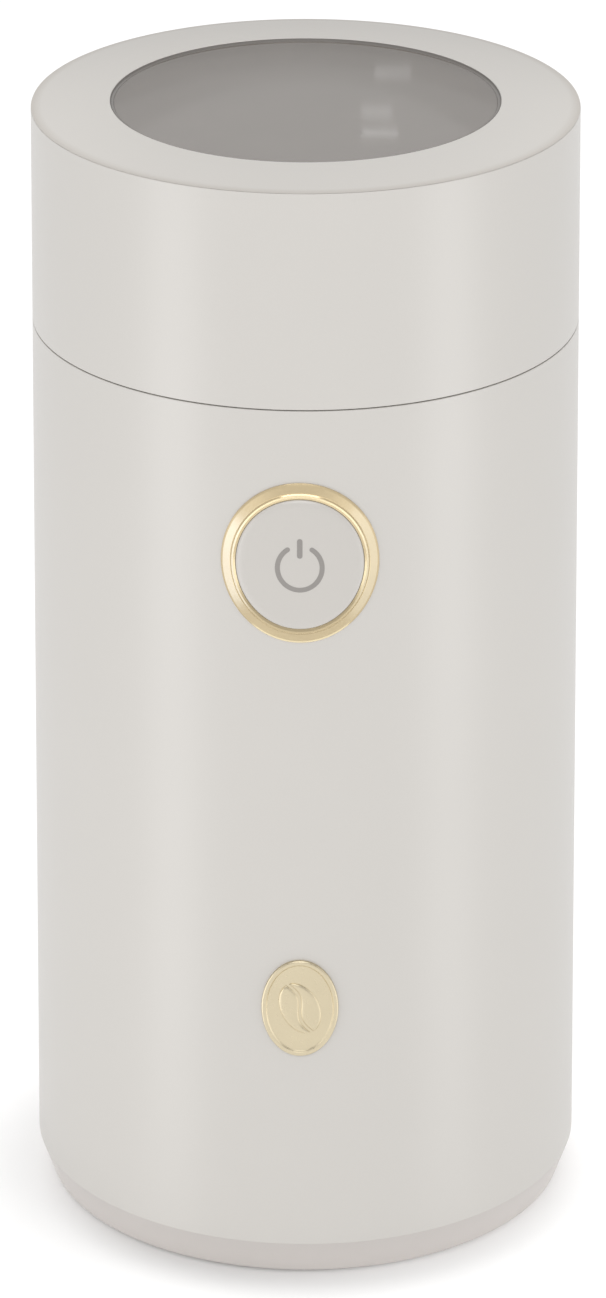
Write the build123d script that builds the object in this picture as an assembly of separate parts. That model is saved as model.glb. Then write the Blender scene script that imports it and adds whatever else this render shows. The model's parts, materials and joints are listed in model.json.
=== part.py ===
from build123d import *
import math
import os

# Electric blade coffee grinder, millimetres, +Z up.
# Origin: centre of the circle the feet stand on. The push button faces -Y.

# ---- driving dimensions -------------------------------------------------
Z_TOP = 192.40           # top of the lid
R_TOP = 44.61            # outer radius of the wall at that height
DRAFT = 0.00902          # the wall widens by this much per millimetre towards the foot, half a degree
Z_UNDER = 0.4            # underside of the body, held up by the feet
R_UNDER = 44.1           # radius of the underside, at the foot of the chamfer
Z_CHAMFER = 6.55         # where the chamfered foot meets the straight wall
Z_SEAM_LO = 155.39       # top edge of the body sleeve
Z_SEAM_HI = 155.74       # bottom edge of the lid sleeve
Z_LID_EDGE = 191.80      # top edge of the lid sleeve
R_WINDOW = 31.75         # opening in the lid's top
Z_WINDOW = 191.60        # top of the smoky window
Z_SHOULDER = 154.74      # shoulder of the collar, under the lid

T_WALL = 1.4             # wall of the body sleeve

Z_BUTTON = 129.54        # centre of the push button
R_RING = 13.3            # outer radius of the ring round the button
R_RING_IN = 10.9         # bore of the ring
R_CAP = 10.78            # button cap
OV_X, OV_Z = 0.954, 1.031    # the button group is taller than it is wide
TRAVEL_BUTTON = 1.5

Z_BADGE = 50.57          # centre of the badge plate
BADGE_W, BADGE_H = 12.7, 17.35

Z_GLAND = 20.0           # rear cord gland
R_CORD = 3.2             # its bore

R_POST = 33.6            # circle of the four housing posts
R_FOOT = 29.0            # circle of the four feet
Z_FLANGE = 146.5         # underside of the inner housing's flange
Z_COLLAR = 150.0         # top of that flange
R_PIN = 40.2             # interlock pin's distance from the axis
TRAVEL_PIN = 2.0

R_SHAFT = 2.5
FIT = 0.03               # running clearance of the shaft in its bushes
ON = 0.02                # clearance of pieces pushed on the shaft

ANG4 = [45, 135, 225, 315]
LONG = 400.0

os.makedirs("parts", exist_ok=True)


# ---- helpers --------------------------------------------------------------
def rev(*pts):
    """Solid of revolution about Z from (r, z) points."""
    return revolve(make_face(Polyline(*[(r, 0, z) for r, z in pts], close=True)), Axis.Z)


def cyl(r, z0, z1, x=0.0, y=0.0):
    return Pos(x, y, (z0 + z1) / 2) * Cylinder(r, z1 - z0)


def ring(ro, ri, z0, z1, x=0.0, y=0.0):
    return cyl(ro, z0, z1, x, y) - cyl(ri, z0 - 1, z1 + 1, x, y)


def box(x0, x1, y0, y1, z0, z1):
    return Pos((x0 + x1) / 2, (y0 + y1) / 2, (z0 + z1) / 2) * Box(x1 - x0, y1 - y0, z1 - z0)


def polar(r, deg):
    return r * math.cos(math.radians(deg)), r * math.sin(math.radians(deg))


def front(s):
    """Local z is the distance from the axis towards the front, local y is up."""
    return Pos(0, 0, Z_BUTTON) * Rot(90, 0, 0) * s


def oval(r, z0, z1):
    """Slightly oval disc of the button group, in the front's local frame."""
    return Pos(0, 0, z0) * extrude(Ellipse(r * OV_X, r * OV_Z), z1 - z0)


def oval_ring(ro, ri, z0, z1):
    return oval(ro, z0, z1) - oval(ri, z0 - 1, z1 + 1)


def rear(s):
    """Local z is the distance from the axis towards the rear."""
    return Pos(0, 0, Z_GLAND) * Rot(-90, 0, 0) * s


def coil(mean_r, wire_r, z0, z1, turns):
    """Open coil spring from z0 to z1 along Z."""
    h = (z1 - z0) - 2.1 * wire_r
    path = Helix(pitch=h / turns, height=h, radius=mean_r)
    prof = Plane(origin=path @ 0, z_dir=path % 0) * Circle(wire_r)
    return Pos(0, 0, z0 + 1.05 * wire_r) * sweep(prof, path=path, is_frenet=True)


def emit(name, *shapes):
    solids = [s for shape in shapes for s in shape.solids()]
    export_step(solids[0] if len(solids) == 1 else Compound(solids), "parts/%s.step" % name)
    print("%-24s %d solid(s)  %.1f mm3" % (name, len(solids), sum(s.volume for s in solids)))


def outside(r):
    """Everything beyond radius r of the main axis."""
    return cyl(LONG, -20, 260) - cyl(r, -30, 270)


def wall(z, d=0.0):
    """Radius of the outer wall at height z, and d beyond it."""
    return R_TOP + DRAFT * (Z_TOP - z) + d


def within(d, z0=-20.0, z1=260.0):
    """Everything inside the outer wall moved out by d."""
    return rev((0, z0), (wall(z0, d), z0), (wall(z1, d), z1), (0, z1))


# ---- outer body -------------------------------------------------------------
sleeve = rev(
    (39.6, Z_UNDER), (R_UNDER, Z_UNDER), (wall(Z_CHAMFER), Z_CHAMFER),
    (wall(Z_SEAM_LO - 0.25), Z_SEAM_LO - 0.25), (wall(Z_SEAM_LO, -0.25), Z_SEAM_LO),
    (43.85, Z_SEAM_LO), (43.85, Z_FLANGE), (42.4, Z_FLANGE), (42.4, Z_FLANGE - 2.0),
    (wall(Z_FLANGE - 3.6, -T_WALL), Z_FLANGE - 3.6), (wall(9.2, -T_WALL), 9.2), (43.0, 5.2),
    (38.2, 5.2), (38.2, 3.4), (39.6, 3.4))
sleeve -= front(oval(12.0, 36, 50))
sleeve -= rear(cyl(6.0, 36, 50))
emit("body_sleeve", sleeve)

# base plate: recessed disc with screw towers, foot pockets and air slots
base = cyl(39.4, 0.8, 3.4)
for a in ANG4:
    x, y = polar(R_POST, a)
    base += cyl(4.2, 3.0, 8.0, x, y)
for a in ANG4:
    x, y = polar(R_POST, a)
    base -= cyl(3.2, 0, 5.0, x, y)
    base -= cyl(1.8, 4, 9, x, y)
for a in (0, 90, 180, 270):
    x, y = polar(R_FOOT, a)
    base -= cyl(5.1, 0, 2.2, x, y)
for i in range(-3, 4):
    half = math.sqrt(16.0 ** 2 - (i * 4.6) ** 2)
    slot = box(i * 4.6 - 1.1, i * 4.6 + 1.1, -half + 1.1, half - 1.1, 0, 5)
    slot += cyl(1.1, 0, 5, i * 4.6, half - 1.1) + cyl(1.1, 0, 5, i * 4.6, -half + 1.1)
    base -= slot
emit("base_plate", base)

feet = []
for a in (0, 90, 180, 270):
    x, y = polar(R_FOOT, a)
    f = rev((0, 0), (4.3, 0), (5.0, 0.5), (5.0, 2.2), (0, 2.2))
    feet.append(Pos(x, y, 0) * f)
emit("rubber_feet", *feet)

screws = []
for a in ANG4:
    x, y = polar(R_POST, a)
    s = cyl(2.9, 2.9, 5.0) + cyl(1.5, 4.9, 18.0)
    s -= box(-0.45, 0.45, -2.1, 2.1, 2.0, 3.9) + box(-2.1, 2.1, -0.45, 0.45, 2.0, 3.9)
    screws.append(Pos(x, y, 0) * s)
emit("base_screws", *screws)

# rear cord gland: rubber grommet with a bell mouth
out = wall(Z_GLAND) - 45.0
gland = rev((R_CORD, 34.0), (5.0, 34.0), (5.0, 40.3 + out), (8.0, 40.3 + out), (8.0, 42.3 + out),
            (5.8, 42.3 + out), (5.8, 44.0 + out), (8.2, 44.0 + out), (8.2, 45.3 + out), (7.6, 45.9 + out),
            (4.4, 45.9 + out), (R_CORD, 42.5))
keep_out = within(0.03) - within(-T_WALL - 0.02, -30, 270)
gland = rear(gland)
gland -= keep_out & rear(ring(9.5, 5.8, 36, 52))
emit("cord_gland", gland)

# ---- button group -----------------------------------------------------------
bezel = front(oval_ring(R_RING, R_RING_IN, 40, 50)) & (within(0.84) - within(0.02, -30, 270))
bezel += front(oval_ring(11.9, R_RING_IN, 41.2, 50)) & within(0.3)
emit("button_ring", bezel)

cap = front(oval(R_CAP, 40.6, 50)) & within(1.24)
cap = fillet(cap.edges().filter_by(lambda e: e.center().Y < -43.5 and e.length > 40), 0.9)
cap += front(oval(11.6, 40.1, 41.1))
cap -= front(oval(9.2, 39, 43.0))
cap += front(cyl(2.2, 42.0, 43.5))
emit("button_cap", cap)

holder = front(oval_ring(13.0, 12.0, 35.6, 50) + oval_ring(12.3, 10.3, 36.9, 38.3))
for sx in (-1, 1):
    holder += front(box(min(12 * sx, 20 * sx), max(12 * sx, 20 * sx), -3.4, 3.4, 35.6, 37.2))
holder &= within(-T_WALL - 0.2)
for sx in (-1, 1):
    holder -= front(cyl(1.15, 34, 39, 17 * sx, 0))
emit("button_holder", holder)

emit("switch_board", front(oval(11.8, 35.6, 36.9)))

sw = front(box(-4, 4, -4, 4, 36.9, 40.2)) - front(cyl(1.7, 38.2, 41))
emit("power_switch", sw)
emit("switch_plunger", front(cyl(1.5, 39.9, 42.0)))
emit("button_spring", front(coil(6.6, 0.3, 36.9, 43.0, 5)))

hs = []
for sx in (-1, 1):
    s = cyl(1.9, 37.2, 38.6) + cyl(1.0, 31.6, 37.3)
    s -= box(-0.3, 0.3, -1.4, 1.4, 37.9, 39) + box(-1.4, 1.4, -0.3, 0.3, 37.9, 39)
    hs.append(front(Pos(17 * sx, 0, 0) * s))
emit("holder_screws", *hs)

# badge: plain oval plate on the front wall, with a raised border
plate = Pos(0, 0, Z_BADGE) * Rot(90, 0, 0) * extrude(Pos(0, 0, 40) * Ellipse(BADGE_W / 2, BADGE_H / 2), 10)
inset = Pos(0, 0, Z_BADGE) * Rot(90, 0, 0) * extrude(Pos(0, 0, 40) * Ellipse(BADGE_W / 2 - 0.9, BADGE_H / 2 - 0.9), 10)
badge = (plate & (within(0.55) - within(0.01, -30, 270))) - (inset - within(0.35))
emit("badge_plate", badge)

# ---- inner housing, collar and bowl ------------------------------------------
house = ring(35.0, 33.2, 100.0, Z_COLLAR) + cyl(35.0, 100.0, 103.0)
house += ring(43.4, 33.2, Z_FLANGE, Z_COLLAR)
house += ring(18.0, 16.0, 102.5, 110.0)
for a in ANG4:
    x, y = polar(R_POST, a)
    house += cyl(3.0, 8.0, 100.5, x, y)
for sy in (-1, 1):
    house += cyl(4.0, 102.5, 107.0, 0, 22 * sy)
# guide and switch plate for the interlock pin
house += box(34.2, 36.2, -7, 7, 116, 134) & outside(34.0)
house += box(34.2, 42.3, -3.5, 3.5, 130, 134) & outside(34.0)
# bosses for the button holder
for sx in (-1, 1):
    house += front(cyl(3.0, 24, 35.6, 17 * sx, 0)) & outside(33.8)
house -= cyl(10.0, 99, 104)
for a in ANG4:
    x, y = polar(R_POST, a)
    house -= cyl(1.55, 7, 20, x, y)
    x, y = polar(39.6, a)
    house -= cyl(1.7, Z_FLANGE - 1, Z_COLLAR + 1, x, y)
for sy in (-1, 1):
    house -= cyl(1.6, 99, 106.0, 0, 22 * sy)
house -= cyl(1.6, 120, 160, R_PIN, 0)
for sx in (-1, 1):
    house -= front(cyl(1.05, 31.0, 37, 17 * sx, 0))
house -= ring(35.4, 33.0, Z_COLLAR - 1.0, Z_COLLAR + 1)
emit("inner_housing", house)

emit("bowl_gasket", ring(35.2, 33.3, Z_COLLAR - 1.0, Z_COLLAR))

bowl_line = FilletPolyline(
    (6.1, 0, 110.0), (30.6, 0, 110.0), (31.9, 0, Z_COLLAR), (35.2, 0, Z_COLLAR),
    (35.2, 0, Z_COLLAR + 0.8), (31.2, 0, Z_COLLAR + 0.8), (29.8, 0, 110.8), (6.1, 0, 110.8),
    radius=[0, 8.8, 0, 0, 0, 0.7, 8.0, 0], close=True)
bowl = revolve(make_face(bowl_line), Axis.Z)
emit("grinding_bowl", bowl)

collar = rev((32.4, Z_COLLAR + 0.8), (35.4, Z_COLLAR + 0.8), (35.4, Z_COLLAR), (43.5, Z_COLLAR),
             (43.5, Z_SHOULDER - 0.3), (43.2, Z_SHOULDER), (37.2, Z_SHOULDER), (37.2, 159.4), (36.6, 160.0),
             (35.4, 160.0), (35.4, 155.2), (32.4, 152.2))
for a in ANG4:
    x, y = polar(39.6, a)
    collar -= cyl(1.5, Z_COLLAR - 1, 153.0, x, y)
collar -= cyl(1.6, Z_COLLAR - 1, 156, R_PIN, 0)
emit("top_collar", collar)

cs = []
for a in ANG4:
    x, y = polar(39.6, a)
    s = cyl(2.2, 144.9, Z_FLANGE) + cyl(1.45, 146.4, 152.6)
    s -= box(-0.4, 0.4, -1.6, 1.6, 144, 145.7) + box(-1.6, 1.6, -0.4, 0.4, 144, 145.7)
    cs.append(Pos(x, y, 0) * s)
emit("collar_screws", *cs)

# ---- lid ------------------------------------------------------------------------
lid_sleeve = rev((43.8, Z_SEAM_HI), (wall(Z_SEAM_HI, -0.25), Z_SEAM_HI), (wall(Z_SEAM_HI + 0.25), Z_SEAM_HI + 0.25),
                 (wall(Z_LID_EDGE - 0.12), Z_LID_EDGE - 0.12), (wall(Z_LID_EDGE, -0.12), Z_LID_EDGE),
                 (43.8, Z_LID_EDGE))
emit("lid_sleeve", lid_sleeve)

cap_top = rev((R_WINDOW, 190.3), (43.6, 190.3), (43.6, Z_LID_EDGE + 0.02), (R_TOP - 0.05, Z_LID_EDGE + 0.14),
              (R_TOP - 0.05, Z_TOP - 0.42), (R_TOP - 0.17, Z_TOP - 0.22), (R_TOP - 0.5, Z_TOP - 0.08),
              (R_TOP - 2.2, Z_TOP), (R_WINDOW + 0.3, Z_TOP), (R_WINDOW, Z_TOP - 0.3))
cap_top += ring(43.6, 42.2, 178.0, 190.4)
emit("lid_cap", cap_top)

cup = rev((0, 188.5), (34.5, 188.5), (36.6, 187.6), (37.5, 185.5), (37.5, 163.2), (36.0, 163.2),
          (36.0, 161.7), (37.5, 161.7), (37.5, Z_SEAM_HI), (43.5, Z_SEAM_HI), (43.5, Z_SEAM_HI + 1.6),
          (39.0, Z_SEAM_HI + 1.6), (39.0, 190.15), (31.05, 190.15), (31.05, Z_WINDOW - 0.3),
          (30.75, Z_WINDOW), (0, Z_WINDOW))
emit("lid_window", cup)

# dark ring that lines the opening round the window
emit("window_rim", rev((31.1, 190.2), (31.45, 190.2), (31.45, 192.08), (31.33, 192.2), (31.22, 192.2), (31.1, 192.08)))

emit("lid_seal", rev((35.6, 160.05), (37.4, 160.05), (37.4, 161.7), (36.0, 161.7), (35.6, 161.2)))

# ---- lid interlock ---------------------------------------------------------------
pin = cyl(1.4, 128.0, Z_SEAM_HI - 0.1, R_PIN, 0) + cyl(2.1, 142.9, 144.4, R_PIN, 0)
emit("interlock_pin", pin)
emit("interlock_spring", Pos(R_PIN, 0, 0) * coil(1.83, 0.18, 134.0, 142.9, 9))
isw = box(36.2, 42.2, -6.2, 6.2, 118.0, 126.0) + cyl(1.0, 125.5, 127.9, R_PIN, 0)
isw += box(37.5, 41.0, -5.0, -4.2, 113.5, 118.5) + box(37.5, 41.0, 4.2, 5.0, 113.5, 118.5)
emit("interlock_switch", isw)

# ---- motor -----------------------------------------------------------------------
lam = Circle(30.0) - Circle(25.0)
lam += Pos(28.5, 0) * Circle(4.5)
lam += Pos(-28.5, 0) * Circle(4.5)
shoes = Circle(16.5) - Circle(13.0)
spread = 40 * math.tan(math.radians(58))
wedge = make_face(Polyline((0, 0), (spread, 40), (-spread, 40), close=True))
wedge += make_face(Polyline((0, 0), (-spread, -40), (spread, -40), close=True))
lam += shoes & wedge
for sy in (-1, 1):
    lam += Pos(0, 20.5 * sy) * Rectangle(15, 11)
lam -= Circle(13.0)
for sx in (-1, 1):
    lam -= Pos(28.5 * sx, 0) * Circle(1.8)
emit("stator_core", Pos(0, 0, 58) * extrude(lam, 24))

coils = []
for sy in (-1, 1):
    sk = RectangleRounded(25.6, 34.6, 5.0) - RectangleRounded(15.7, 24.7, 0.6)
    c = Pos(0, 17.2 if sy > 0 else -20.8, 70) * Rot(-90, 0, 0) * extrude(sk, 3.6)
    coils.append(c)
emit("field_coils", *coils)

upper = box(-33, 33, -8, 8, 92, 95) + box(-8, 8, -27, 27, 92, 95)
upper += cyl(9.0, 90, 99.5)
for sx in (-1, 1):
    upper += cyl(4.2, 82, 95, 28.5 * sx, 0)
upper &= cyl(33.0, 60, 120)
upper -= cyl(6.0, 91.5, 101) + cyl(3.4, 80, 101)
for sx in (-1, 1):
    upper -= cyl(1.8, 80, 100, 28.5 * sx, 0)
for sy in (-1, 1):
    upper -= cyl(2.0, 80, 100, 0, 22 * sy)
emit("upper_bracket", upper)

lower = box(-33, 33, -8, 8, 33, 36) + box(-8, 8, -24, 24, 33, 36)
lower += cyl(9.0, 28.5, 37.5)
for sx in (-1, 1):
    lower += cyl(4.2, 33, 58, 28.5 * sx, 0)
for sy in (-1, 1):
    lower += box(-5, 5, min(11 * sy, 22 * sy), max(11 * sy, 22 * sy), 35, 41)
lower &= cyl(33.0, 20, 70)
lower -= cyl(6.0, 29.5, 40) + cyl(3.4, 20, 60)
for sx in (-1, 1):
    lower -= cyl(1.8, 20, 70, 28.5 * sx, 0)
emit("lower_bracket", lower)

emit("upper_bush", ring(6.0, R_SHAFT + FIT, 91.5, 99.5))
emit("lower_bush", ring(6.0, R_SHAFT + FIT, 29.5, 37.5))

ts, nuts = [], []
for sx in (-1, 1):
    s = cyl(3.0, 30.6, 33.0) + cyl(1.6, 32.9, 98.4)
    s -= box(-0.45, 0.45, -2.2, 2.2, 30, 31.7) + box(-2.2, 2.2, -0.45, 0.45, 30, 31.7)
    ts.append(Pos(28.5 * sx, 0, 0) * s)
    n = Pos(28.5 * sx, 0, 95.0) * extrude(RegularPolygon(3.1, 6), 2.4)
    nuts.append(n - cyl(1.65, 90, 100, 28.5 * sx, 0))
emit("motor_bolts", *ts)
emit("motor_nuts", *nuts)

dampers, ms = [], []
for sy in (-1, 1):
    d = rev((2.1, 95.0), (5.0, 95.0), (5.0, 96.4), (4.2, 97.0), (4.2, 98.0), (5.0, 98.6), (5.0, 100.0), (2.1, 100.0))
    dampers.append(Pos(0, 22 * sy, 0) * d)
    s = cyl(3.1, 89.6, 92.0) + cyl(1.5, 91.9, 105.4)
    s -= box(-0.45, 0.45, -2.2, 2.2, 89, 90.7) + box(-2.2, 2.2, -0.45, 0.45, 89, 90.7)
    ms.append(Pos(0, 22 * sy, 0) * s)
emit("motor_dampers", *dampers)
emit("motor_screws", *ms)

# brushes along Y
bh, br, bs = [], [], []
for sy in (-1, 1):
    def side(s):
        return Pos(0, 0, 45) * Rot(-90 * sy, 0, 0) * s
    tube_ = side(box(-3.4, 3.4, -4.0, 4.0, 10.4, 22.0) - box(-2.6, 2.6, -3.1, 3.1, 9, 21.2))
    bh.append(tube_)
    b = side(box(-2.5, 2.5, -3.0, 3.0, 7.0, 17.6)) - cyl(8.1, 30, 60)
    br.append(b)
    bs.append(side(coil(1.9, 0.25, 17.65, 21.15, 4)))
emit("brush_holders", *bh)
emit("carbon_brushes", *br)
emit("brush_springs", *bs)

emit("shaft_seal", rev((2.75, 106.0), (9.0, 106.0), (9.0, 110.0), (6.0, 110.0), (6.0, 110.8),
                       (8.6, 110.8), (7.4, 112.0), (3.4, 112.0), (2.75, 111.4)))

# ---- rotor -----------------------------------------------------------------------
shaft = rev((0, 16.0), (2.1, 16.0), (R_SHAFT, 16.4), (R_SHAFT, 122.2), (2.1, 122.6), (0, 122.6))
emit("motor_shaft", shaft)

arm = Circle(12.5) - Circle(R_SHAFT + ON)
for i in range(12):
    arm -= Rot(0, 0, 30 * i) * (Pos(9.2, 0) * Rectangle(5.2, 2.6) + Pos(12.2, 0) * Rectangle(2.0, 1.1))
emit("armature_core", Pos(0, 0, 58) * extrude(arm, 24))

wind = rev((4.2, 82.1), (11.7, 82.1), (11.7, 85.2), (10.4, 87.4), (7.5, 88.0), (4.2, 87.2))
wind += rev((4.2, 57.9), (11.7, 57.9), (11.7, 54.8), (10.4, 52.6), (7.5, 52.0), (4.2, 52.8))
for i in range(12):
    wind += Rot(0, 0, 30 * i) * box(6.8, 11.6, -1.15, 1.15, 57, 83)
emit("armature_winding", wind)

com = ring(8.0, R_SHAFT + ON, 40.0, 49.2) + ring(9.6, R_SHAFT + ON, 49.0, 50.6)
for i in range(12):
    com -= Rot(0, 0, 30 * i + 15) * box(7.0, 11.0, -0.25, 0.25, 39, 51)
emit("commutator", com)

emit("thrust_washers", ring(5.2, R_SHAFT + ON, 37.6, 39.95), ring(5.2, R_SHAFT + ON, 88.1, 89.8))

fan = ring(5.0, R_SHAFT + ON, 17.0, 27.5) + ring(23.0, R_SHAFT + 1, 23.6, 24.8)
for i in range(9):
    fan += Rot(0, 0, 40 * i) * box(4.6, 22.6, -0.6, 0.6, 17.6, 24.0)
emit("cooling_fan", fan)

hub = rev((R_SHAFT + ON, 112.6), (7.6, 112.6), (7.6, 114.2), (5.6, 115.4), (5.2, 116.6), (R_SHAFT + ON, 116.6))
emit("blade_hub", hub)

# two wings with ground leading edges, one tip turned up and the other down
blade = None
for sx in (-1, 1):
    edge = [(-4.6 * sx, -0.7), (4.6 * sx, -0.7), (4.6 * sx, -0.35), (2.9 * sx, 0.7), (-4.6 * sx, 0.7)]
    face = make_face(Plane.YZ * Polyline(*edge, close=True))
    flat = extrude(face, 18.2, dir=(sx, 0, 0))
    tip = Pos(17.9 * sx, 0, 0) * Rot(0, -22, 0) * extrude(face, 9.0, dir=(sx, 0, 0))
    wing = Pos(0, 0, 117.3) * (flat + tip)
    blade = wing if blade is None else blade + wing
blade &= cyl(26.0, 105, 135)
blade -= cyl(R_SHAFT + ON, 110, 125)
emit("grinding_blade", blade)

nut = extrude(RegularPolygon(4.6, 6), 3.4)
nut = Pos(0, 0, 118.0) * nut + rev((0, 121.0), (3.7, 121.0), (3.7, 121.8), (3.0, 123.2), (1.6, 123.9), (0, 124.0))
nut -= cyl(R_SHAFT + ON, 117, 122.8)
emit("blade_nut", nut)

# ---- wiring ----------------------------------------------------------------------
tb = box(-11, 11, 18.5, 27.5, 3.4, 12.0)
for i in (-1, 0, 1):
    tb -= cyl(1.6, 9.0, 13.0, 7.0 * i, 23.0)
emit("terminal_block", tb)

capac = fillet(box(-9, 9, -27, -19, 3.4, 14.4).edges().filter_by(Axis.Z), 0.8)
emit("suppressor_capacitor", capac)


def wire(k):
    """Lead k from the terminal block, up the left wall and round to the button holder."""
    r, z_lo, z_run, a0 = 39.6, 7.0 + 2.6 * k, 113.0 + 4.0 * k, 122 - 5 * k
    y0 = 21.5 + 3.5 * k
    pts = [(-11.1, y0, z_lo), (-15.0, y0, z_lo)]
    x, y = polar(r, a0)
    pts += [(x, y, z_lo + 3.0), (x, y, z_run)]
    for i, a in enumerate((150, 178, 206, 228)):
        x, y = polar(r, a)
        pts.append((x, y, z_run + 0.4 * (i + 1)))
    x = -16.0 - 2.7 * k
    pts += [(x, -36.4, z_run + 2.4), (x, -36.4, Z_BUTTON - 3.45)]
    path = FilletPolyline(*pts, radius=2.0)
    prof = Plane(origin=path @ 0, z_dir=path % 0) * Circle(0.8)
    body = sweep(prof, path=path)
    print("lead", k, "volume", round(body.volume, 1), "section x length", round(math.pi * 0.64 * path.length, 1))
    return body


emit("lead_wires", wire(0), wire(1))
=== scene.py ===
import json
import math

import bmesh
import bpy
import numpy as np
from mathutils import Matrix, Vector


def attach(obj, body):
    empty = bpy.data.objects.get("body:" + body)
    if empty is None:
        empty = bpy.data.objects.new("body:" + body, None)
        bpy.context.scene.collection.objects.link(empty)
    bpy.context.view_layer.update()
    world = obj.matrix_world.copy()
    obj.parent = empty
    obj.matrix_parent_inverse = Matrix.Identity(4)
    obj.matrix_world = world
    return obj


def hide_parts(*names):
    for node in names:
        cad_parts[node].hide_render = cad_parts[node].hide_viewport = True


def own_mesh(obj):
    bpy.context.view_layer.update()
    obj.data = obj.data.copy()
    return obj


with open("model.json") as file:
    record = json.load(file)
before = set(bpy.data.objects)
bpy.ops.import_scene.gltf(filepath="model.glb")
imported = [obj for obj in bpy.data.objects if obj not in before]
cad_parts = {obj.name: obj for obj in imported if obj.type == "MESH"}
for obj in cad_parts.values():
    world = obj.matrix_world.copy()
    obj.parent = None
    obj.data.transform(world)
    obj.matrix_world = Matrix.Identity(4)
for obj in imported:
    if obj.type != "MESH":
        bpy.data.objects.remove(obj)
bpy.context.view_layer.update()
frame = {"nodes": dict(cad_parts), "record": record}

MM = 0.001

# ---- dimensions shared with the construction, in millimetres ----------------
Z_TOP, R_TOP, DRAFT = 192.40, 44.61, 0.00902
Z_CHAMFER, R_UNDER, Z_UNDER = 6.55, 44.1, 0.4
Z_BUTTON = 129.54
OV_X, OV_Z = 0.954, 1.031
R_CAP = 10.78
Z_BADGE = 50.57
Z_GLAND = 20.0
Z_SEAM_LO, Z_SEAM_HI = 155.39, 155.74
Z_LID_EDGE = 191.60
R_WINDOW, Z_WINDOW = 31.75, 191.98
Z_SHOULDER = 154.74
T_WALL = 1.4
R_PIN = 40.2
R_FOOT = 29.0


def wall(z, d=0.0):
    """Radius of the outer wall at height z, and d beyond it."""
    return R_TOP + DRAFT * (Z_TOP - z) + d


# ---- node helpers -------------------------------------------------------------
class Mat:
    """A Principled material whose colour, roughness and relief come from textures in object space."""

    def __init__(self, name):
        self.m = bpy.data.materials.new(name)
        self.m.use_nodes = True
        self.nt = self.m.node_tree
        self.b = self.nt.nodes["Principled BSDF"]
        self.tc = self.nt.nodes.new("ShaderNodeTexCoord")

    def node(self, kind, **props):
        n = self.nt.nodes.new(kind)
        for k, v in props.items():
            setattr(n, k, v)
        return n

    def link(self, a, b):
        self.nt.links.new(a, b)

    def set(self, **values):
        for k, v in values.items():
            self.b.inputs[k.replace("_", " ")].default_value = v
        return self

    def obj(self, sx=1.0, sy=1.0, sz=1.0):
        if (sx, sy, sz) == (1.0, 1.0, 1.0):
            return self.tc.outputs["Object"]
        n = self.node("ShaderNodeMapping")
        n.inputs["Scale"].default_value = (sx, sy, sz)
        self.link(self.tc.outputs["Object"], n.inputs["Vector"])
        return n.outputs["Vector"]

    def turned(self, kr, kz, ka=0.0):
        """Coordinates (radius, height, angle) about the main axis, so that grain runs round the piece."""
        sep = self.node("ShaderNodeSeparateXYZ")
        self.link(self.tc.outputs["Object"], sep.inputs[0])
        flat = self.node("ShaderNodeCombineXYZ")
        self.link(sep.outputs[0], flat.inputs[0])
        self.link(sep.outputs[1], flat.inputs[1])
        ln = self.node("ShaderNodeVectorMath", operation="LENGTH")
        self.link(flat.outputs[0], ln.inputs[0])
        at = self.node("ShaderNodeMath", operation="ARCTAN2")
        self.link(sep.outputs[1], at.inputs[0])
        self.link(sep.outputs[0], at.inputs[1])
        out = self.node("ShaderNodeCombineXYZ")
        self.link(ln.outputs["Value"], out.inputs[0])
        self.link(sep.outputs[2], out.inputs[1])
        self.link(at.outputs[0], out.inputs[2])
        sc = self.node("ShaderNodeMapping")
        sc.inputs["Scale"].default_value = (kr, kz, ka)
        self.link(out.outputs[0], sc.inputs["Vector"])
        return sc.outputs["Vector"]

    def noise(self, vec, scale, detail=2.0, rough=0.5, distortion=0.0):
        n = self.node("ShaderNodeTexNoise")
        n.inputs["Scale"].default_value = scale
        n.inputs["Detail"].default_value = detail
        n.inputs["Roughness"].default_value = rough
        n.inputs["Distortion"].default_value = distortion
        self.link(vec, n.inputs["Vector"])
        return n.outputs["Fac"]

    def cells(self, vec, scale, feature="F1"):
        n = self.node("ShaderNodeTexVoronoi", feature=feature)
        n.inputs["Scale"].default_value = scale
        self.link(vec, n.inputs["Vector"])
        return n.outputs["Distance"]

    def wave(self, vec, scale, distortion=0.0, axis="Z"):
        n = self.node("ShaderNodeTexWave", bands_direction=axis)
        n.inputs["Scale"].default_value = scale
        n.inputs["Distortion"].default_value = distortion
        self.link(vec, n.inputs["Vector"])
        return n.outputs["Fac"]

    def ramp(self, fac, stops):
        n = self.node("ShaderNodeValToRGB")
        el = n.color_ramp.elements
        while len(el) < len(stops):
            el.new(0.5)
        for e, (pos, col) in zip(el, stops):
            e.position = pos
            e.color = (*col, 1.0)
        self.link(fac, n.inputs["Fac"])
        return n.outputs["Color"]

    def span(self, fac, lo, hi, a=0.3, b=0.7):
        n = self.node("ShaderNodeMapRange")
        for i, v in zip((1, 2, 3, 4), (a, b, lo, hi)):
            n.inputs[i].default_value = v
        self.link(fac, n.inputs[0])
        return n.outputs[0]

    def colour(self, fac, c0, c1, p0=0.3, p1=0.7):
        self.link(self.ramp(fac, [(p0, c0), (p1, c1)]), self.b.inputs["Base Color"])
        return self

    def rough(self, fac, lo, hi, a=0.3, b=0.7):
        self.link(self.span(fac, lo, hi, a, b), self.b.inputs["Roughness"])
        return self

    def bump(self, height, strength, depth):
        n = self.node("ShaderNodeBump")
        n.inputs["Strength"].default_value = strength
        n.inputs["Distance"].default_value = depth
        self.link(height, n.inputs["Height"])
        before = self.b.inputs["Normal"].links
        if before:
            self.link(before[0].from_socket, n.inputs["Normal"])
        self.link(n.outputs["Normal"], self.b.inputs["Normal"])
        return self


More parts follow.
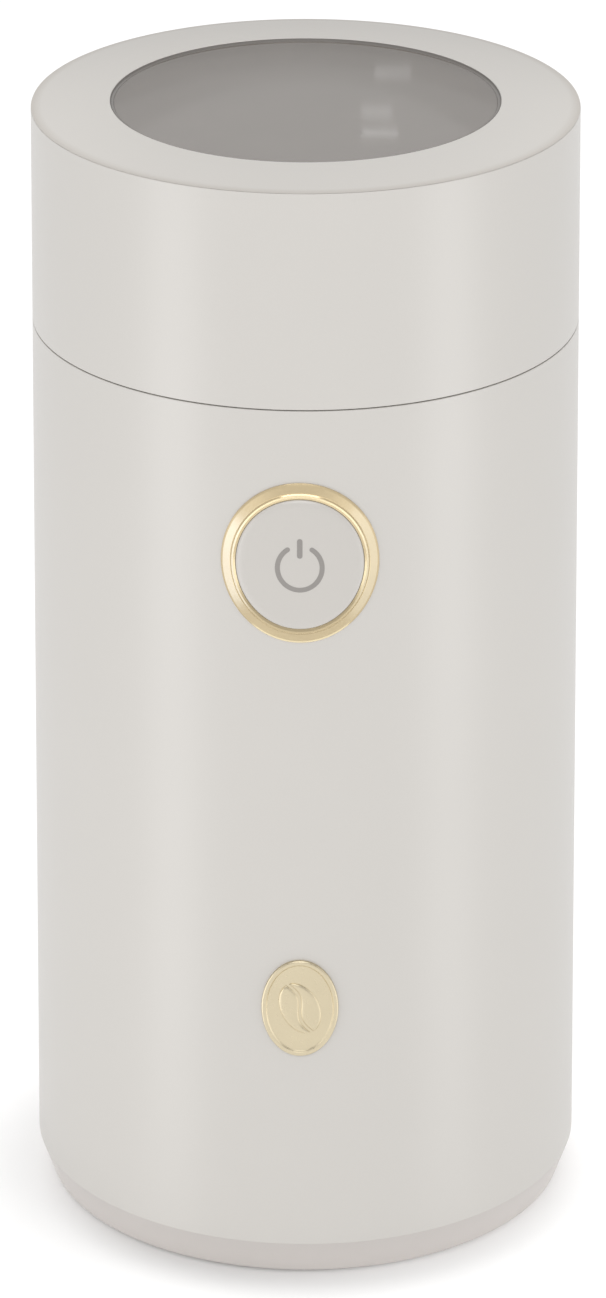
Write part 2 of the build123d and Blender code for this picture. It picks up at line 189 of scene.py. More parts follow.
def lin(r, g, b):
    def f(v):
        v /= 255.0
        return v / 12.92 if v <= 0.04045 else ((v + 0.055) / 1.055) ** 2.4
    return f(r), f(g), f(b)


def shade(c, k):
    return tuple(min(1.0, x * k) for x in c)


# ---- materials ------------------------------------------------------------------
def cream(name, col, r_lo, r_hi, grain, flecks, level=0.8, foot=None, edge_shade=None):
    """Satin plastic with a fine pearl grain. Below the chamfer's crease a foot colour paints shade and light: darker at
    the crease, lighter towards the bottom. An edge_shade colour paints shade at the top's outer edge.
    """
    m = Mat(name)
    v = m.obj()
    fine = m.noise(v, 3600.0, 2.0, 0.6)
    wide = m.noise(v, 45.0, 2.0, 0.5)
    mix = m.node("ShaderNodeMix", data_type="FLOAT")
    mix.inputs["Factor"].default_value = 0.35
    m.link(fine, mix.inputs["A"])
    m.link(wide, mix.inputs["B"])
    m.colour(mix.outputs["Result"], shade(col, 1.0 - flecks), shade(col, 1.0 + flecks))
    # painted shade and light: the foot band below the crease is darker than the wall, and a ramp lightens it towards
    # the bottom against the contact shadow
    if foot:
        sep = m.node("ShaderNodeSeparateXYZ")
        m.link(v, sep.inputs[0])
        tone = m.node("ShaderNodeMix", data_type="RGBA")
        m.link(m.span(sep.outputs[2], 0.0, 1.0, (Z_CHAMFER - 0.03) * MM, (Z_CHAMFER + 0.05) * MM), tone.inputs["Factor"])
        low = m.node("ShaderNodeMix", data_type="RGBA", blend_type="MULTIPLY")
        low.inputs["Factor"].default_value = 1.0
        m.link(m.ramp(mix.outputs["Result"], [(0.3, shade(foot, 1.0 - flecks)), (0.7, shade(foot, 1.0 + flecks))]),
               low.inputs["A"])
        m.link(m.ramp(m.span(sep.outputs[2], 0.0, 1.0, Z_UNDER * MM, Z_CHAMFER * MM),
                      [(0.0, (1.0, 1.0, 1.0)), (1.0, (0.82, 0.82, 0.82))]), low.inputs["B"])
        m.link(low.outputs["Result"], tone.inputs["A"])
        m.link(m.b.inputs["Base Color"].links[0].from_socket, tone.inputs["B"])
        m.link(tone.outputs["Result"], m.b.inputs["Base Color"])
    # painted shade: the colour darkens towards the top ring's outer edge
    if edge_shade:
        far = m.node("ShaderNodeVectorMath", operation="LENGTH")
        m.link(m.obj(1.0, 1.0, 0.0), far.inputs[0])
        edge = m.node("ShaderNodeMix", data_type="RGBA", blend_type="MULTIPLY")
        edge.inputs["Factor"].default_value = 1.0
        m.link(m.b.inputs["Base Color"].links[0].from_socket, edge.inputs["A"])
        m.link(m.ramp(m.span(far.outputs["Value"], 0.0, 1.0, 0.0429, 0.0443), [(0.0, (1.0, 1.0, 1.0)), (1.0, edge_shade)]),
               edge.inputs["B"])
        m.link(edge.outputs["Result"], m.b.inputs["Base Color"])
    m.rough(fine, r_lo, r_hi)
    m.bump(fine, grain, 0.00003)
    m.set(IOR=1.5, Specular_IOR_Level=level)
    return m.m


def moulded(name, col, scale=1400.0, r=(0.45, 0.62), relief=0.25, depth=0.00004, vary=0.05):
    """Injection moulded plastic with a fine spark texture."""
    m = Mat(name)
    v = m.obj()
    fine = m.noise(v, scale, 3.0, 0.6)
    wide = m.noise(v, scale / 40.0, 2.0, 0.5)
    m.colour(wide, shade(col, 1.0 - vary), shade(col, 1.0 + vary))
    m.rough(fine, *r)
    m.bump(fine, relief, depth)
    return m.m


def rubber(name, col, sheen=0.2):
    m = Mat(name)
    v = m.obj()
    fine = m.noise(v, 1800.0, 4.0, 0.65)
    wide = m.noise(v, 120.0, 3.0, 0.5)
    m.colour(wide, shade(col, 0.88), shade(col, 1.14))
    m.rough(fine, 0.62, 0.82)
    m.bump(fine, 0.3, 0.00005)
    m.set(Sheen_Weight=sheen, Sheen_Roughness=0.5)
    return m.m


def turned_metal(name, col, r=(0.2, 0.34), relief=0.12, kr=5200.0, kz=5200.0, ka=2.0, aniso=0.5):
    """Metal brushed or turned round the main axis."""
    m = Mat(name)
    v = m.turned(kr, kz, ka)
    lines = m.noise(v, 1.0, 3.0, 0.6)
    blotch = m.noise(m.obj(), 90.0, 3.0, 0.5)
    m.colour(blotch, shade(col, 0.93), shade(col, 1.05))
    m.rough(lines, *r)
    m.bump(lines, relief, 0.00002)
    m.set(Metallic=1.0, Anisotropic=aniso)
    return m.m


def ground_metal(name, col, stretch=(180.0, 5200.0, 5200.0), r=(0.2, 0.36), relief=0.12):
    """Metal with straight grinding lines."""
    m = Mat(name)
    lines = m.noise(m.obj(*stretch), 1.0, 3.0, 0.6)
    blotch = m.noise(m.obj(), 140.0, 3.0, 0.5)
    m.colour(blotch, shade(col, 0.92), shade(col, 1.06))
    m.rough(lines, *r)
    m.bump(lines, relief, 0.00002)
    m.set(Metallic=1.0)
    return m.m


def plated(name, col, r=(0.2, 0.34), scale=900.0, relief=0.08, vary=0.05, metal=1.0, shade_by_height=None):
    """Plated or cast metal with a fine even grain. A shade_by_height gives two heights and the factors of the colour
    there, as painted shade.
    """
    m = Mat(name)
    v = m.obj()
    fine = m.noise(v, scale, 3.0, 0.6)
    wide = m.noise(v, 160.0, 2.0, 0.5)
    m.colour(wide, shade(col, 1.0 - vary), shade(col, 1.0 + vary))
    # painted shade: the colour is scaled between the two heights
    if shade_by_height:
        sep = m.node("ShaderNodeSeparateXYZ")
        m.link(v, sep.inputs[0])
        dim = m.node("ShaderNodeMix", data_type="RGBA", blend_type="MULTIPLY")
        dim.inputs["Factor"].default_value = 1.0
        m.link(m.b.inputs["Base Color"].links[0].from_socket, dim.inputs["A"])
        m.link(m.ramp(m.span(sep.outputs[2], 0.0, 1.0, shade_by_height[0] * MM, shade_by_height[1] * MM),
                      [(0.0, (shade_by_height[2],) * 3), (1.0, (shade_by_height[3],) * 3)]), dim.inputs["B"])
        m.link(dim.outputs["Result"], m.b.inputs["Base Color"])
    m.rough(fine, *r)
    m.bump(fine, relief, 0.00002)
    m.set(Metallic=metal)
    return m.m


def stacked(name, col):
    """Punched sheet stack: half-millimetre sheets with dark joints."""
    m = Mat(name)
    sheets = m.wave(m.obj(), 2000.0 / (2.0 * math.pi) * 2.0, 0.0, "Z")
    dust = m.noise(m.obj(), 700.0, 3.0, 0.6)
    m.link(m.ramp(sheets, [(0.0, shade(col, 0.45)), (0.25, col), (1.0, shade(col, 1.15))]), m.b.inputs["Base Color"])
    m.rough(dust, 0.38, 0.58)
    m.bump(sheets, 0.4, 0.00005)
    m.set(Metallic=0.85)
    return m.m


def wound(name, col, axis="Z"):
    """Enamelled wire laid in turns."""
    m = Mat(name)
    turns = m.wave(m.obj(), 900.0 / math.pi, 1.2, axis)
    wide = m.noise(m.obj(), 260.0, 3.0, 0.5)
    m.colour(wide, shade(col, 0.82), shade(col, 1.15))
    m.rough(turns, 0.26, 0.42)
    m.bump(turns, 0.6, 0.00012)
    m.set(Metallic=1.0, Coat_Weight=0.35, Coat_Roughness=0.2)
    return m.m


def sintered(name, col):
    m = Mat(name)
    pores = m.cells(m.obj(), 3200.0)
    m.colour(pores, shade(col, 0.6), shade(col, 1.08), 0.1, 0.5)
    m.rough(pores, 0.5, 0.34, 0.1, 0.6)
    m.bump(pores, 0.25, 0.00003)
    m.set(Metallic=1.0)
    return m.m


def smoky(name, tint, r=(0.03, 0.07)):
    """Clear grey plastic, polished, with faint flow streaks."""
    m = Mat(name)
    flow = m.noise(m.obj(90.0, 90.0, 30.0), 1.0, 2.0, 0.5, 0.4)
    m.colour(flow, shade(tint, 0.97), shade(tint, 1.03))
    m.rough(flow, *r)
    m.set(Transmission_Weight=0.5, IOR=1.49)
    return m.m


CREAM = lin(199.5, 196, 190.8)
M = {
    "cream_shell": cream("cream_shell", CREAM, 0.30, 0.38, 0.10, 0.012, 1.0),
    # the top ring's colour is darker near its outer edge: painted shade
    "cream_top": cream("cream_top", CREAM, 0.30, 0.38, 0.10, 0.012, 1.0, edge_shade=(0.865, 0.845, 0.825)),
    # the body's foot colour paints shade on the chamfer and light near the floor
    "cream_body": cream("cream_body", CREAM, 0.30, 0.38, 0.10, 0.012, 1.0, lin(212, 206, 201.5)),
    "cream_button": cream("cream_button", lin(195.5, 191.5, 186), 0.28, 0.36, 0.04, 0.008),
    # the gold is darker towards the ring's bottom: painted shade against the floor's reflection
    "gold_trim": plated("gold_trim", (0.672, 0.536, 0.322), (0.12, 0.20), 2600.0, 0.05, 0.02, 0.6,
                        (Z_BUTTON - 13.5, Z_BUTTON + 10.0, 0.72, 1.0)),
    "gold_badge": plated("gold_badge", (0.67, 0.585, 0.415), (0.26, 0.36), 2600.0, 0.05, 0.02),
    "symbol_print": moulded("symbol_print", lin(145, 141, 137), 2600.0, (0.45, 0.55), 0.05, 0.00002, 0.03),
    "smoky_window": smoky("smoky_window", (0.332, 0.2965, 0.264), (0.025, 0.04)),
    "rim_plastic": moulded("rim_plastic", lin(128, 124, 120), 2200.0, (0.16, 0.26), 0.04, 0.00002, 0.04),
    "grey_plastic": moulded("grey_plastic", lin(126, 124, 120)),
    "inner_plastic": moulded("inner_plastic", lin(72, 72, 74), 900.0),
    "base_plastic": moulded("base_plastic", lin(186, 181, 176), 1100.0),
    "rubber_grey": rubber("rubber_grey", lin(92, 90, 88)),
    "rubber_black": rubber("rubber_black", lin(34, 34, 35)),
    "silicone": moulded("silicone", lin(196, 192, 186), 700.0, (0.4, 0.55), 0.1, 0.00003, 0.03),
    "stainless": turned_metal("stainless", (0.62, 0.62, 0.615), (0.16, 0.30), 0.10),
    "blade_steel": ground_metal("blade_steel", (0.66, 0.66, 0.67), (160.0, 4200.0, 4200.0), (0.18, 0.34)),
    "nut_steel": turned_metal("nut_steel", (0.64, 0.64, 0.65), (0.18, 0.30), 0.06, 3600.0, 3600.0, 1.0, 0.3),
    "zinc_steel": plated("zinc_steel", (0.52, 0.53, 0.55), (0.24, 0.40), 1500.0, 0.15, 0.12),
    "shaft_steel": turned_metal("shaft_steel", (0.60, 0.60, 0.61), (0.14, 0.26), 0.08, 2600.0, 2600.0, 1.0, 0.4),
    "lamination": stacked("lamination", (0.13, 0.135, 0.145)),
    "copper": wound("copper", (0.62, 0.27, 0.13)),
    "commutator_copper": turned_metal("commutator_copper", (0.70, 0.36, 0.20), (0.2, 0.34), 0.1, 3000.0, 3000.0),
    "bronze": sintered("bronze", (0.52, 0.31, 0.13)),
    "brass": plated("brass", (0.66, 0.47, 0.19), (0.22, 0.36), 1200.0, 0.12, 0.08),
    "carbon": moulded("carbon", lin(40, 40, 42), 2200.0, (0.5, 0.7), 0.2, 0.00003, 0.2),
    "board": moulded("board", lin(46, 92, 60), 1800.0, (0.28, 0.42), 0.12, 0.00003, 0.12),
    "switch_plastic": moulded("switch_plastic", lin(30, 30, 32), 1600.0, (0.35, 0.5)),
    "capacitor_yellow": moulded("capacitor_yellow", lin(212, 172, 42), 600.0, (0.16, 0.28), 0.08, 0.00003, 0.04),
    "terminal_white": moulded("terminal_white", lin(224, 222, 216), 1200.0, (0.4, 0.55), 0.15, 0.00003, 0.03),
    "wire_sleeve": rubber("wire_sleeve", lin(120, 74, 48), 0.05),
    "fan_plastic": moulded("fan_plastic", lin(60, 62, 66), 1000.0),
}


# ---- mesh helpers ------------------------------------------------------------------
def rounded(points, closed=True, step=15.0, hold=0.10):
    """Corners (a, b) or (a, b, radius) to a line: an arc at each radius, and holding points beside it."""
    n = len(points)
    groups = []
    for i, p in enumerate(points):
        c = np.array(p[:2], float)
        rad = p[2] if len(p) > 2 else 0.0
        if rad <= 0 or (not closed and i in (0, n - 1)):
            groups.append([c])
            continue
        before = np.array(points[i - 1][:2], float)
        after = np.array(points[(i + 1) % n][:2], float)
        la, lb = np.linalg.norm(before - c), np.linalg.norm(after - c)
        u, v = (before - c) / la, (after - c) / lb
        turn = math.pi - math.acos(max(-1.0, min(1.0, float(u @ v))))
        if turn < 1e-3:
            groups.append([c])
            continue
        t = min(rad * math.tan(turn / 2), 0.48 * la, 0.48 * lb)
        rad = t / math.tan(turn / 2)
        mid = (u + v) / np.linalg.norm(u + v)
        centre = c + mid * rad / math.cos(turn / 2)
        s, e = c + u * t - centre, c + v * t - centre
        k = max(2, math.ceil(math.degrees(turn) / step))
        a0 = math.atan2(s[1], s[0])
        da = (math.atan2(e[1], e[0]) - a0 + math.pi) % (2 * math.pi) - math.pi
        groups.append([centre + rad * np.array((math.cos(a0 + da * j / k), math.sin(a0 + da * j / k)))
                       for j in range(k + 1)])
    line = []
    for i, g in enumerate(groups):
        line += g
        if i == n - 1 and not closed:
            break
        a, b = g[-1], groups[(i + 1) % n][0]
        length = np.linalg.norm(b - a)
        if length > 4 * hold:
            line += [a + (b - a) * hold / length, b - (b - a) * hold / length]
    return [(float(a), float(b)) for a, b in line]


def about_z(u, v, t):
    """Angle 0 faces the front, -Y."""
    return u * math.sin(t), -u * math.cos(t), v


def spin(line, place=about_z, seg=192, closed=True):
    """Vertices and faces of a line turned through a full circle. A point at radius 0 is a pole."""
    verts, rows = [], []
    for u, v in line:
        if abs(u) < 1e-9:
            rows.append([len(verts)] * seg)
            verts.append(place(0.0, v, 0.0))
        else:
            rows.append(list(range(len(verts), len(verts) + seg)))
            verts += [place(u, v, 2 * math.pi * k / seg) for k in range(seg)]
    faces = []
    for i in range(len(rows) if closed else len(rows) - 1):
        a, b = rows[i], rows[(i + 1) % len(rows)]
        for k in range(seg):
            q = [a[k], a[(k + 1) % seg], b[(k + 1) % seg], b[k]]
            q = [x for j, x in enumerate(q) if x != q[j - 1]]
            if len(q) > 2:
                faces.append(q)
    return verts, faces


def moved(vf, dx=0.0, dy=0.0, dz=0.0):
    v, f = vf
    return [(x + dx, y + dy, z + dz) for x, y, z in v], f


def joined(*parts):
    verts, faces = [], []
    for v, f in parts:
        o = len(verts)
        verts += v
        faces += [[i + o for i in q] for q in f]
    return verts, faces


def bridge(loops, closed=True):
    """Quads between loops of vertex numbers, each as long as the next."""
    faces = []
    for a, b in zip(loops[:-1], loops[1:]):
        n = len(a)
        for k in range(n if closed else n - 1):
            faces.append([a[k], a[(k + 1) % n], b[(k + 1) % n], b[k]])
    return faces


def piece(name, vf, body, mat, nodes=(), sharp=30.0):
    verts, faces = vf
    me = bpy.data.meshes.new(name)
    me.from_pydata([(x * MM, y * MM, z * MM) for x, y, z in verts], [], faces)
    bm = bmesh.new()
    bm.from_mesh(me)
    bmesh.ops.remove_doubles(bm, verts=bm.verts[:], dist=1e-8)
    bmesh.ops.recalc_face_normals(bm, faces=bm.faces[:])
    bm.to_mesh(me)
    bm.free()
    me.shade_smooth()
    me.set_sharp_from_angle(angle=math.radians(sharp))
    me.materials.append(mat)
    ob = bpy.data.objects.new(name, me)
    bpy.context.scene.collection.objects.link(ob)
    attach(ob, body)
    if nodes:
        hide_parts(*nodes)
    return ob


# ---- body sleeve: turned wall with the button's and the cord's openings ---------------
def sleeve_mesh(seg=256):
    def rows(z0, z1, k):
        return [z0 + (z1 - z0) * i / k for i in range(k + 1)]

    def inner(z):
        return wall(z, -T_WALL)

    line, at = [], {}

    def add(name, pts):
        at[name] = list(range(len(line), len(line) + len(pts)))
        line.extend(pts)

    foot = rounded([(38.2, 3.4), (39.6, 3.4), (39.6, Z_UNDER, 0.15), (R_UNDER, Z_UNDER, 0.30),
                    (wall(Z_CHAMFER), Z_CHAMFER, 0.12), (wall(20.0), 20.0)], closed=False)[:-1]
    top = rounded([(wall(150.5), 150.5), (wall(Z_SEAM_LO), Z_SEAM_LO, 0.12), (43.85, Z_SEAM_LO, 0.15), (43.85, 146.5),
                   (42.4, 146.5), (42.4, 144.5), (inner(142.9), 142.9)], closed=False)[1:]
    z_f = Z_BUTTON - 20.0
    add("foot", [p for p in foot if p[1] < 9.5])
    add("out_rear", [(wall(z), z) for z in rows(9.6, 30.4, 16)])
    add("out_mid", [(wall(z), z) for z in rows(30.4, z_f, 24)[1:-1]])
    add("out_front", [(wall(z), z) for z in rows(z_f, z_f + 40.0, 32)])
    add("top", top)
    add("in_front", [(inner(z), z) for z in reversed(rows(113.9, 142.7, 32))])
    add("in_mid", [(inner(z), z) for z in reversed(rows(30.0, 113.9, 8)[1:-1])])
    add("in_rear", [(inner(z), z) for z in reversed(rows(10.0, 30.0, 16))])
    add("floor", [(inner(9.2), 9.2), (43.0, 5.2), (38.2, 5.2)])
    n = len(line)
    verts = [about_z(r, z, 2 * math.pi * k / seg) for r, z in line for k in range(seg)]

    def vid(i, k):
        return i * seg + k % seg

    cut = set()
    walls = []
    for side, mid, half, zc, ax, az in (("front", 0, 16, Z_BUTTON, 12.0 * OV_X, 12.0 * OV_Z),
                                        ("rear", seg // 2, 8, Z_GLAND, 6.0, 6.0)):
        rims = []
        for ids, radius in ((at["out_" + side], wall), (at["in_" + side][::-1], inner)):
            for p, q in zip(ids[:-1], ids[1:]):
                for k in range(mid - half, mid + half):
                    cut.add((min(p, q), k % seg))
            # the patch's rim, once round
            rim = [(ids[0], k) for k in range(mid - half, mid + half)]
            rim += [(i, mid + half) for i in ids[:-1]]
            rim += [(ids[-1], k) for k in range(mid + half, mid - half, -1)]
            rim += [(i, mid - half) for i in reversed(ids[1:])]
            loops = [[vid(i, k) for i, k in rim]]
            pts = [(2 * math.pi * (k - mid) / seg, line[i][1]) for i, k in rim]
            edge = []
            for th, z in pts:
                t = math.atan2((z - zc) / az, radius(z) * math.sin(th) / ax)
                ez = zc + az * math.sin(t)
                edge.append((math.asin(ax * math.cos(t) / radius(ez)), ez))
            for f in (0.2, 0.4, 0.6, 0.8, 1.0):
                loop = []
                for (th, z), (eh, ez) in zip(pts, edge):
                    z2 = z + (ez - z) * f
                    loop.append(len(verts))
                    verts.append(about_z(radius(z2), z2, th + (eh - th) * f + 2 * math.pi * mid / seg))
                loops.append(loop)
            rims.append(loops)
        walls.append(rims)
    faces = []
    for i in range(n):
        for k in range(seg):
            if (i, k) not in cut:
                j = (i + 1) % n
                faces.append([vid(i, k), vid(i, k + 1), vid(j, k + 1), vid(j, k)])
    for outer, inside in walls:
        faces += bridge(outer) + bridge(inside) + bridge([outer[-1], inside[-1]])
    return verts, faces


piece("body_shell", sleeve_mesh(), "housing", M["cream_body"], ["body_sleeve"])

# ---- lid ---------------------------------------------------------------------------
lid_wall = piece("lid_shell", spin(rounded([
    (43.8, Z_SEAM_HI - 0.16), (wall(Z_SEAM_HI), Z_SEAM_HI - 0.16, 0.12), (wall(Z_LID_EDGE), Z_LID_EDGE - 0.04, 0.10),
    (43.8, Z_LID_EDGE - 0.04)]), seg=256), "lid", M["cream_shell"], ["lid_sleeve"])

# the top ring falls away softly towards its outer edge
fall = [(33.2 + 10.95 * f, Z_TOP - 0.74 * f ** 2.2) for f in [i / 24 for i in range(25)]]
cap_line = [(R_WINDOW, 190.3), (43.6, 190.3), (43.6, Z_LID_EDGE), (44.40, Z_LID_EDGE)]
cap_line += rounded([(44.40, Z_LID_EDGE), (R_TOP - 0.05, Z_LID_EDGE, 0.03), (R_TOP - 0.05, Z_LID_EDGE + 0.04, 0.03), fall[-1],
                     fall[-2]], closed=False, step=12, hold=0.02)[1:-1]
cap_line += list(reversed(fall[1:-1]))
cap_line += rounded([(33.2, Z_TOP), (R_WINDOW, Z_TOP, 0.09), (R_WINDOW, 190.3)], closed=False)[:-1]
skirt = rounded([(43.6, 178.0, 0.4), (43.6, 190.35), (42.2, 190.35), (42.2, 178.0, 0.4)])
top_ring = piece("lid_top", joined(spin(cap_line, seg=256), spin(skirt, seg=128)), "lid", M["cream_top"], ["lid_cap"])

cup = piece("lid_cup", spin(rounded([
    (0, 188.5), (34.3, 188.5, 2.6), (37.5, 185.5, 2.4), (37.5, 163.2, 0.2), (36.0, 163.2), (36.0, 161.7),
    (37.5, 161.7, 0.2), (37.5, Z_SEAM_HI, 0.3), (43.5, Z_SEAM_HI, 0.3), (43.5, Z_SEAM_HI + 1.6, 0.3),
    (39.0, Z_SEAM_HI + 1.6, 0.5), (39.0, 190.15, 0.5), (31.16, 190.15, 0.1),
    (31.16, Z_WINDOW, 0.03), (0, Z_WINDOW)],
    closed=False), seg=256, closed=False), "lid", M["smoky_window"], ["lid_window"])

rim = piece("rim", spin(rounded([
    (31.18, 190.2), (31.70, 190.2), (31.70, 192.37, 0.02), (31.66, 192.37, 0.02), (31.60, 192.04, 0.02), (31.18, 192.00, 0.02)], hold=0.04), seg=256),
    "lid", M["rim_plastic"], ["window_rim"])

piece("lid_gasket", spin(rounded([
    (35.6, 160.05, 0.3), (37.4, 160.05, 0.3), (37.4, 161.7, 0.1), (36.0, 161.7, 0.1), (35.6, 161.2, 0.2)]), seg=192),
    "lid", M["silicone"], ["lid_seal"])


# ---- button group, on the curved front -----------------------------------------------
def on_front(zc, ox=1.0, oz=1.0):
    """Places (distance from the centre, height over the wall) on the front; a height over 20 is a distance from the axis."""
    def place(u, v, t):
        x, z = u * ox * math.sin(t), zc + u * oz * math.cos(t)
        return (x, -v, z) if v > 20 else (x, -math.sqrt(wall(z, v) ** 2 - x * x), z)
    return place


# outer chamfer, a face that slopes outwards, a bead and a slope down to the button
bezel = rounded([(13.3, 0.03), (13.3, 0.215, 0.03), (13.0, 0.33, 0.02), (11.80, 0.58, 0.03), (11.72, 0.55, 0.03),
                 (11.54, 0.80, 0.04), (11.24, 0.83, 0.04), (10.84, 0.685, 0.04), (10.84, -0.5)],
                closed=False, step=12.0, hold=0.03)
bezel += [(10.9, 41.2), (11.9, 41.2), (11.9, 0.02)]
ring = piece("trim_ring", spin(bezel, on_front(Z_BUTTON, OV_X, OV_Z), 192), "housing", M["gold_trim"], ["button_ring"])


def cap_height(u):
    """Height of the button's face over the wall: a flat field with a soft rounded shoulder."""
    flat, edge = 8.9, R_CAP
    h = 1.24 - 0.04 * (u / flat) ** 2
    if u > flat:
        s = min(1.0, (u - flat) / (edge - flat))
        h -= 0.50 * (1 - math.sqrt(max(0.0, 1 - s ** 2.2)))
    return h


steps = [0.0] + [0.5 * i for i in range(1, 18)] + [8.9 + (R_CAP - 8.9) * math.sin(math.pi / 2 * i / 16) for i in range(17)]
face = [(u, cap_height(u)) for u in steps]
face += [(R_CAP, 42.6), (R_CAP, 41.1), (11.6, 41.1), (11.6, 40.1), (9.2, 40.1), (9.2, 43.0), (2.2, 43.0), (2.2, 42.0), (0, 42.0)]
piece("push_button", spin(face, on_front(Z_BUTTON, OV_X, OV_Z), 192, closed=False), "button", M["cream_button"],
      ["button_cap"])


def stroke(line, half, height, depth):
    """Flat stroke with round ends along (x, z) points on the button's face, as a thin closed solid."""
    pts = np.array(line, float)
    d = np.gradient(pts, axis=0)
    d /= np.linalg.norm(d, axis=1)[:, None]
    nrm = np.stack([-d[:, 1], d[:, 0]], 1)
    outline = [p + q * half for p, q in zip(pts, nrm)]
    for c, q, way in ((pts[-1], nrm[-1], d[-1]),):
        outline += [c + half * (q * math.cos(a) + way * math.sin(a)) for a in [math.pi * i / 10 for i in range(1, 10)]]
    outline += [p - q * half for p, q in reversed(list(zip(pts, nrm)))]
    outline += [pts[0] + half * (-nrm[0] * math.cos(a) - d[0] * math.sin(a)) for a in [math.pi * i / 10 for i in range(1, 10)]]
    n, m = len(pts), len(outline)

    def lift(p, h):
        u = math.hypot(p[0] / OV_X, p[1] / OV_Z)
        r = wall(Z_BUTTON + p[1], cap_height(u) + h)
        return p[0], -math.sqrt(r * r - p[0] ** 2), Z_BUTTON + p[1]

    verts = [lift(p, height) for p in outline] + [lift(p, -depth) for p in outline]
    left, right = list(range(n)), list(range(n + 9, 2 * n + 9))[::-1]
    end, start = list(range(n, n + 9)), list(range(2 * n + 9, 2 * n + 18))
    flat = [[left[i], left[i + 1], right[i + 1], right[i]] for i in range(n - 1)]
    flat += [[left[-1], *end, right[-1]], [right[0], *start, left[0]]]
    faces = flat + [[i + m for i in q] for q in flat]
    faces += [[i, (i + 1) % m, (i + 1) % m + m, i + m] for i in range(m)]
    return verts, faces


Z_SYMBOL = 129.15 - Z_BUTTON
arc = [(3.58 * math.sin(a), Z_SYMBOL + 3.77 * math.cos(a)) for a in
       [math.radians(33 + (360 - 66) * i / 72) for i in range(73)]]
bar = [(0.0, 130.80 + 0.45 - Z_BUTTON + (3.38 - 0.9) * i / 6) for i in range(7)]
piece("power_symbol", joined(stroke(arc, 0.40, 0.025, 0.06), stroke(bar, 0.44, 0.025, 0.06)), "button",
      M["symbol_print"], sharp=40)


# ---- badge: oval plate with a raised border and a coffee bean in relief ------------------
def badge_mesh(seg=240):
    a, b = 6.35, 8.675

    rim = rounded([(0.0, 0.015, 0.0), (0.0, 0.45, 0.18), (0.22, 0.55, 0.12), (0.72, 0.55, 0.12), (0.95, 0.31, 0.15),
                   (1.4, 0.29)], closed=False, step=12.0, hold=0.03)
    verts, loops = [], []

    def at(x, z, h):
        return x, -math.sqrt(wall(Z_BADGE + z, h) ** 2 - x * x), Z_BADGE + z

    ts = [2 * math.pi * k / seg for k in range(seg)]
    for d, h in rim:
        loop = []
        for t in ts:
            nx, nz = math.cos(t) / a, math.sin(t) / b
            ln = math.hypot(nx, nz)
            loop.append(len(verts))
            verts.append(at(a * math.cos(t) - d * nx / ln, b * math.sin(t) - d * nz / ln, h))
        loops.append(loop)
    inner = [(verts[i][0], verts[i][2] - Z_BADGE) for i in loops[-1]]
    rings = 8
    for j in range(1, rings):
        f = 1 - j / rings
        loop = []
        for x, z in inner:
            loop.append(len(verts))
            verts.append(at(x * f, z * f, 0.29))
        loops.append(loop)
    faces = bridge(loops)
    tip = len(verts)
    verts.append(at(0, 0, 0.29))
    faces += [[loops[-1][k], loops[-1][(k + 1) % seg], tip] for k in range(seg)]
    back = []
    for f in (0.8, 0.4):
        loop = []
        for i in loops[0]:
            x, z = verts[i][0] * f, (verts[i][2] - Z_BADGE) * f
            loop.append(len(verts))
            verts.append(at(x, z, 0.015))
        back.append(loop)
    faces += bridge([loops[0]] + back)
    tip = len(verts)
    verts.append(at(0, 0, 0.015))
    faces += [[back[-1][k], back[-1][(k + 1) % seg], tip] for k in range(seg)]
    # the bean: two lobes on either side of an S-shaped crease
    c, s = math.cos(math.radians(24)), math.sin(math.radians(24))
    nq, ns = 56, 20
    for side in (-1, 1):
        sheets = []
        for up in (True, False):
            rows = []
            for i in range(nq + 1):
                q = -math.cos(math.pi * i / nq) * 0.985
                crease = 0.22 * math.sin(math.pi * q * 1.05) + side * 0.075
                outer = side * math.sqrt(1 - q * q)
                if (outer - crease) * side < 0.02:
                    outer = crease + side * 0.02
                full = min(1.0, abs(outer - crease) / 0.45) ** 0.6
                row = []
                for j in range(ns + 1):
                    f = (1 - math.cos(math.pi * j / ns)) / 2
                    u, w = (crease + (outer - crease) * f) * 3.2, q * 4.75
                    h = 0.26 + (0.33 * full * (1 - abs(2 * f - 1) ** 2.6) ** 0.6 if up else -0.04)
                    row.append(len(verts))
                    verts.append(at(u * c - w * s, u * s + w * c, h))
                rows.append(row)
            faces += bridge(rows, closed=False)
            sheets.append(rows)
        top, low = ([r[0] for r in g] + g[-1][1:] + [r[-1] for r in reversed(g[:-1])] + g[0][-2:0:-1] for g in sheets)
        faces += bridge([top, low])
    return verts, faces


piece("badge", badge_mesh(), "housing", M["gold_badge"], ["badge_plate"], sharp=50)


# ---- rear cord gland ------------------------------------------------------------------
def on_rear(u, v, t):
    """As the front's placing, on the rear; a value over 20 is a distance from the axis."""
    x, z = u * math.sin(t), Z_GLAND + u * math.cos(t)
    return (x, v, z) if v > 20 else (x, math.sqrt(wall(z, v) ** 2 - x * x), z)


out = wall(Z_GLAND) - 45.0
gland = [(3.2, 34.0), (5.0, 34.0), (5.0, 40.3 + out), (8.0, 40.3 + out), (8.0, -1.42), (5.8, -1.42), (5.8, 0.03), (8.2, 0.03)]
gland += rounded([(8.2, 44.3 + out), (8.2, 45.5 + out, 0.5), (7.7, 45.9 + out, 0.6), (4.6, 45.9 + out, 0.9), (3.2, 42.5, 2.0),
                  (3.2, 36.0)], closed=False, step=10)[1:]
piece("cord_grommet", spin(gland, on_rear, 96), "housing", M["rubber_grey"], ["cord_gland"])

# ---- feet ------------------------------------------------------------------------------
foot = rounded([(0, 0), (4.45, 0, 0.5), (5.0, 0.6, 0.4), (5.0, 2.2), (0, 2.2)], closed=False)
feet = [moved(spin(foot, seg=64, closed=False), R_FOOT * math.cos(math.radians(a)), R_FOOT * math.sin(math.radians(a)))
        for a in (0, 90, 180, 270)]
piece("feet", joined(*feet), "housing", M["rubber_grey"], ["rubber_feet"])

